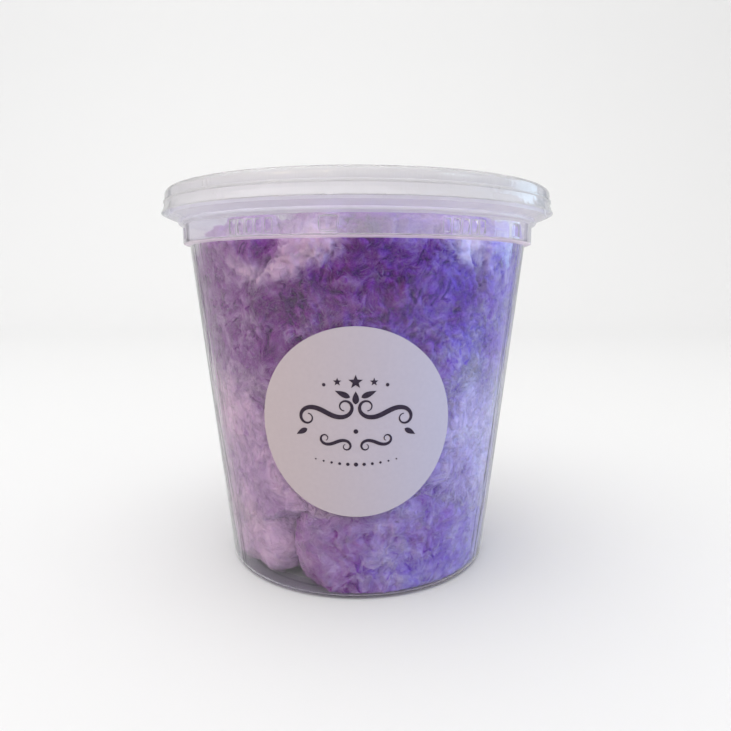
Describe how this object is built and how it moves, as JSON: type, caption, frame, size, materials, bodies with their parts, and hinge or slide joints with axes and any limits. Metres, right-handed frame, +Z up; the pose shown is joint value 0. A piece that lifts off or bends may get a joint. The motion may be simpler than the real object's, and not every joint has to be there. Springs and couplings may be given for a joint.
{
  "type": "tub of cotton candy",
  "caption": "Clear tapered tub with a push-on lid, packed with torn tufts of purple cotton candy, with a round paper label on its front.",
  "frame": {"origin": "middle of the tub's foot, on the table", "axes": "+Z up along the tub's axis, the label faces -Y"},
  "size_m": [0.1184, 0.1184, 0.1127],
  "materials": {
    "tub_plastic": "clear glossy thermoformed plastic, about 0.6 mm thick",
    "lid_plastic": "clear glossy plastic with a slightly milky skirt",
    "label_paper": "smooth white label paper with a plain dark print",
    "spun_sugar": "matted fine sugar threads, purple, paler where the threads are thin"
  },
  "bodies": {
    "root": {"tub": "tub_plastic", "lid": "lid_plastic", "label": "label_paper", "tuft_low_front": "spun_sugar", "tuft_low_left": "spun_sugar", "tuft_low_right": "spun_sugar", "tuft_low_back": "spun_sugar", "tuft_mid_left": "spun_sugar", "tuft_mid_right": "spun_sugar", "tuft_mid_back": "spun_sugar", "tuft_upper_front": "spun_sugar", "tuft_upper_left": "spun_sugar", "tuft_upper_right": "spun_sugar", "tuft_upper_back": "spun_sugar", "tuft_top_left": "spun_sugar", "tuft_top_right": "spun_sugar", "tuft_top_back": "spun_sugar"}
  },
  "joints": []
}
